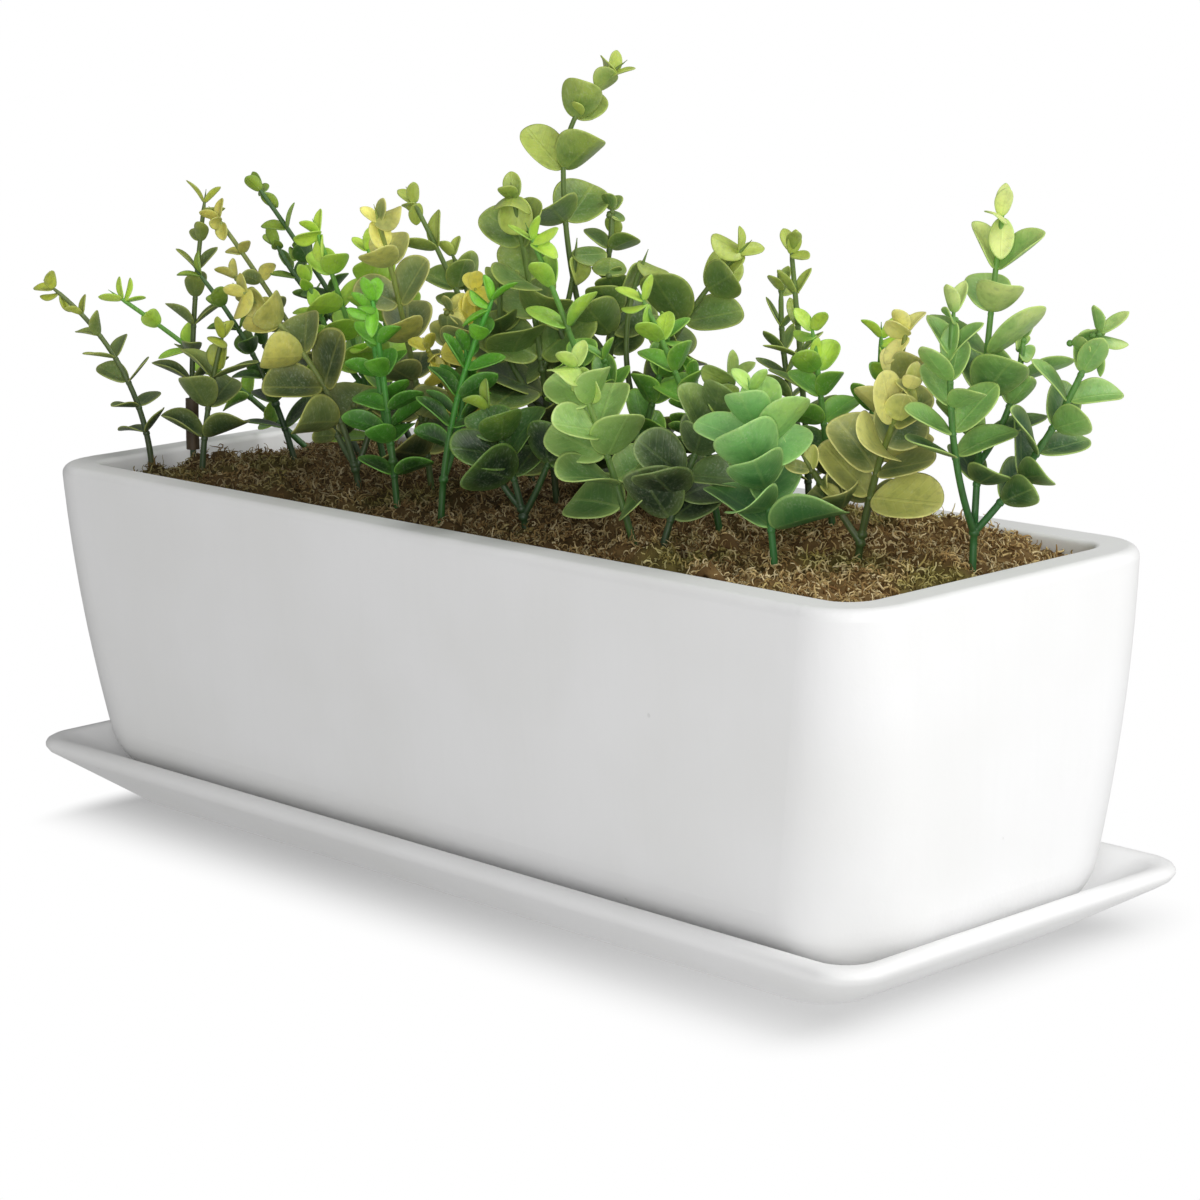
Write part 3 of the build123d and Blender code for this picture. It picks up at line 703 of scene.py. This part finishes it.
def moss_clump(x, y):
    """How far a place lies up on its clump of moss: 0 in the creases between clumps, about 1 on top."""
    bend = 0.004 * noise.noise(Vector((x * BEND_WAVES, y * BEND_WAVES, 9.0)))
    wide, narrow = CLUMP_WAVES
    large = abs(noise.noise(Vector(((x + bend) * wide, (y - bend) * wide, 7.0))))
    small = abs(noise.noise(Vector(((x - bend) * narrow, (y + bend) * narrow, 5.0))))
    return 1.5 * large + 0.9 * small


def moss_height(x, y):
    """Height of the moss bed: crumbly clumps, fuller at the back right, sunk at the ends and the walls."""
    mound = 2.0 * noise.noise(Vector((x * MOUND_WAVES, y * MOUND_WAVES, 3.0))) + 4.2 * moss_clump(x, y) - 2.0
    off_x = (x - SWELL_MIDDLE[0]) / SWELL_REACH[0]
    off_y = (y - SWELL_MIDDLE[1]) / SWELL_REACH[1]
    swell = SWELL_HEIGHT * math.exp(-off_x ** 2 - off_y ** 2)
    wall = max(BED_HALF[1] - abs(y), 0) / MM
    end = min(max(1 - (BED_HALF[0] - abs(x)) / END_REACH, 0), 1) ** 2
    sink = END_SINK[0] if x < 0 else END_SINK[1]
    return MOSS_LEVEL + MM * (mound + swell - 1.2 * math.exp(-wall / 3)) - sink * end


def make_moss_ground(material):
    """The matted ground of the moss as a lumpy pad on the foam."""
    work = bmesh.new()
    strand = work.verts.layers.float.new("strand")
    lift = work.verts.layers.float.new("lift")
    grid = bmesh.ops.create_grid(work, x_segments=GROUND_GRID[0], y_segments=GROUND_GRID[1], size=1.0)
    for v in grid["verts"]:
        x = v.co.x * BED_HALF[0]
        y = v.co.y * BED_HALF[1]
        crumb = noise.noise(Vector((x * CRUMB_WAVES, y * CRUMB_WAVES, 0)))
        v[strand] = 0.15 + 0.3 * crumb
        # lift 0 gives the matted ground the full painted crease shade of the moss material
        v[lift] = 0.0
        v.co = (x, y, moss_height(x, y) + (0.7 * crumb - GROUND_DROP) * MM)
    piece = add_piece("moss_ground", work, material, "planting", "moss_bed")
    solid = piece.modifiers.new("thickness", "SOLIDIFY")
    solid.thickness = GROUND_THICKNESS
    solid.offset = 1
    return piece


def add_curl(curve, rng):
    """One short curl of moss that grows out of the bed. Gives how far it lies up, point by point."""
    x = rng.uniform(-1, 1) * (BED_HALF[0] - MM)
    y = rng.uniform(-1, 1) * (BED_HALF[1] - MM)
    place = Vector((x, y, moss_height(x, y) - rng.uniform(0.0, 2.0) * MM))
    way = Vector((rng.gauss(0, 1), rng.gauss(0, 1), rng.uniform(-0.2, 1.4))).normalized()
    angle = rng.uniform(0.7, 1.9)
    bend = Matrix.Rotation(angle, 3, Vector((rng.gauss(0, 1), rng.gauss(0, 1), rng.gauss(0, 1))))
    step = rng.uniform(*CURL_STEP) * MM
    radius = rng.uniform(*CURL_RADIUS) * MM
    clump = moss_clump(x, y)
    spline = curve.splines.new("POLY")
    spline.points.add(CURL_POINTS - 1)
    heights = []
    for i, point in enumerate(spline.points):
        x = min(max(place.x, -BED_HALF[0]), BED_HALF[0])
        y = min(max(place.y, -BED_HALF[1]), BED_HALF[1])
        point.co = (x, y, place.z, 1)
        point.radius = radius * (1 - 0.6 * i / (CURL_POINTS - 1))
        # How far up the curl lies; the moss material paints shade where this is low
        heights.append(clump + 0.25 * i / CURL_POINTS)
        place += way * step
        way = bend @ way
    return heights


def make_moss_curls(material, seed):
    """One piece of the moss: short curls, each a thin tube with its own tone."""
    rng = random.Random(seed)
    curve = bpy.data.curves.new("moss", "CURVE")
    curve.dimensions = "3D"
    curve.bevel_depth = 1.0
    curve.bevel_resolution = 0
    tones = []
    lifts = []
    for _ in range(CURL_COUNT):
        lifts += add_curl(curve, rng)
        tones += [rng.random()] * CURL_POINTS
    holder = bpy.data.objects.new("moss_curve", curve)
    bpy.context.scene.collection.objects.link(holder)
    bpy.context.view_layer.update()
    mesh = bpy.data.meshes.new_from_object(holder.evaluated_get(bpy.context.evaluated_depsgraph_get()))
    bpy.data.objects.remove(holder)
    around = len(mesh.vertices) // len(tones)
    for name, values in (("strand", tones), ("lift", lifts)):
        layer = mesh.attributes.new(name, "FLOAT", "POINT")
        layer.data.foreach_set("value", np.repeat(np.array(values, np.float32), around))
    work = bmesh.new()
    work.from_mesh(mesh)
    bpy.data.meshes.remove(mesh)
    return add_piece(f"moss_curls_{seed}", work, material, "planting", "moss_bed")


def set_material(node_name, material):
    """A CAD node's own mesh with a better material."""
    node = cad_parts[node_name]
    if not node.material_slots:
        node.data.materials.append(material)
    for held in node.material_slots:
        held.material = material


def make_floor():
    """White floor. It glows as painted light, more to the right, onto the object from below and into its
    shadow. It keeps the shadow near the saucer and goes to plain white further off.
    """
    work = bmesh.new()
    bmesh.ops.create_grid(work, x_segments=1, y_segments=1, size=FLOOR_SIZE)
    mesh = bpy.data.meshes.new("floor")
    work.to_mesh(mesh)
    work.free()
    floor = bpy.data.objects.new("floor", mesh)
    bpy.context.scene.collection.objects.link(floor)
    material, nodes, shader = new_material("floor_white", Roughness=1.0, Specular_IOR_Level=0.0)
    shader.inputs["Base Color"].default_value = (FLOOR_GREY, FLOOR_GREY, FLOOR_GREY, 1.0)
    shader.inputs["Emission Color"].default_value = (1, 1, 1, 1)
    place = nodes.add("ShaderNodeSeparateXYZ", {"Vector": nodes.place()}).outputs
    # Painted light: the floor glows for every ray, more to the right, as a fill from below and in the shadow
    # near the saucer
    glow_level = nodes.range(place[0], *GLOW_PLACES, *GLOW_LEVELS)
    nodes.put(shader.inputs["Emission Strength"], glow_level)
    right = nodes.math("MULTIPLY", nodes.math("SUBTRACT", place[0], WHITE_RIGHT[0]), WHITE_RIGHT[1])
    left = nodes.math("MULTIPLY", nodes.math("SUBTRACT", place[0], WHITE_LEFT[0]), -WHITE_LEFT[1])
    out_x = nodes.math("MAXIMUM", nodes.math("MAXIMUM", left, right), 0.0)
    depth = nodes.math("SUBTRACT", nodes.math("ABSOLUTE", place[1]), WHITE_SIDES)
    out_y = nodes.math("MAXIMUM", depth, 0.0)
    away_squared = nodes.math("MULTIPLY_ADD", out_x, out_x, nodes.math("MULTIPLY", out_y, out_y))
    away = nodes.math("SQRT", away_squared)
    seen = nodes.add("ShaderNodeLightPath").outputs["Is Camera Ray"]
    lit = nodes.math("MULTIPLY", nodes.range(away, *WHITE_BLEND), seen)
    glow = nodes.add("ShaderNodeEmission", {"Color": (1, 1, 1, 1), "Strength": 1.0})
    blend = nodes.add("ShaderNodeMixShader", {0: lit, 1: shader.outputs[0], 2: glow.outputs[0]})
    output = material.node_tree.nodes["Material Output"]
    nodes.put(output.inputs["Surface"], blend.outputs[0])
    mesh.materials.append(material)


def add_lamp(name, place, size, power):
    """A soft square lamp that looks at the object."""
    data = bpy.data.lights.new(name, "AREA")
    data.size = size
    data.energy = power
    lamp = bpy.data.objects.new(name, data)
    bpy.context.scene.collection.objects.link(lamp)
    lamp.location = place
    lamp.rotation_euler = (Vector(LAMP_AIM) - Vector(place)).to_track_quat("-Z", "Y").to_euler()


def set_light():
    """Plain white world, a large soft lamp from the upper right and a weaker one from the front right."""
    world = bpy.data.worlds.new("studio")
    bpy.context.scene.world = world
    world.use_nodes = True
    nodes = Nodes(world.node_tree)
    back = world.node_tree.nodes["Background"]
    back.inputs["Color"].default_value = (1, 1, 1, 1)
    seen = nodes.add("ShaderNodeLightPath").outputs["Is Camera Ray"]
    nodes.put(back.inputs["Strength"], nodes.range(seen, 0.0, 1.0, WORLD_LEVEL, 1.0, smooth=False))
    add_lamp("key", *KEY_LAMP)
    add_lamp("fill", *FILL_LAMP)


def set_camera():
    """The photograph's view."""
    data = bpy.data.cameras.new("camera")
    data.lens = CAMERA_LENS
    data.sensor_width = CAMERA_SENSOR
    data.clip_start = 0.01
    camera = bpy.data.objects.new("camera", data)
    bpy.context.scene.collection.objects.link(camera)
    yaw, pitch, roll = (math.radians(a) for a in (CAMERA_YAW, CAMERA_PITCH, CAMERA_ROLL))
    ahead = Vector((-math.sin(yaw) * math.cos(pitch), math.cos(yaw) * math.cos(pitch), -math.sin(pitch)))
    right = Vector((math.cos(yaw), math.sin(yaw), 0))
    up = right.cross(ahead)
    rolled_right = right * math.cos(roll) + up * math.sin(roll)
    rolled_up = up * math.cos(roll) - right * math.sin(roll)
    turn = Matrix((rolled_right, rolled_up, -ahead)).transposed()
    camera.matrix_world = Matrix.Translation(CAMERA_PLACE) @ turn.to_4x4()
    bpy.context.scene.camera = camera


def make_sprigs():
    """Every sprig in the colours of its palette: leaves and stem."""
    paint = leaf_group()
    for palette, numbers in PALETTE_SPRIGS.items():
        *leaf_colours, foot, top = PALETTES[palette]
        leaf_look = leaf_material("leaf_" + palette, leaf_colours, paint)
        stem_look = stem_material("stem_" + palette, foot, top)
        for number in numbers:
            rng = random.Random(number)
            sprig = f"sprig_{number:02d}"
            stem_points = [v.co.copy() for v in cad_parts[sprig + "_stem"].data.vertices]
            pairs = fill_bare(leaf_pairs(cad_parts[sprig + "_leaves"]), stem_points)
            stance = LEAF_STANCE[number]
            make_leaves(sprig + "_leaves", pairs, leaf_look, stance, rng)
            make_stem(sprig + "_stem", pairs, stem_look)


ceramic = ceramic_material()
set_material("pot", ceramic)
make_saucer(ceramic)
set_material("foam_block", foam_material())
set_material("stem_sleeve", sleeve_material())
make_sprigs()
moss = moss_material()
make_moss_ground(moss)
for seed in CURL_SEEDS:
    make_moss_curls(moss, seed)
make_floor()
set_light()
set_camera()
bpy.context.scene.view_settings.view_transform = "Standard"

bpy.context.view_layer.update()
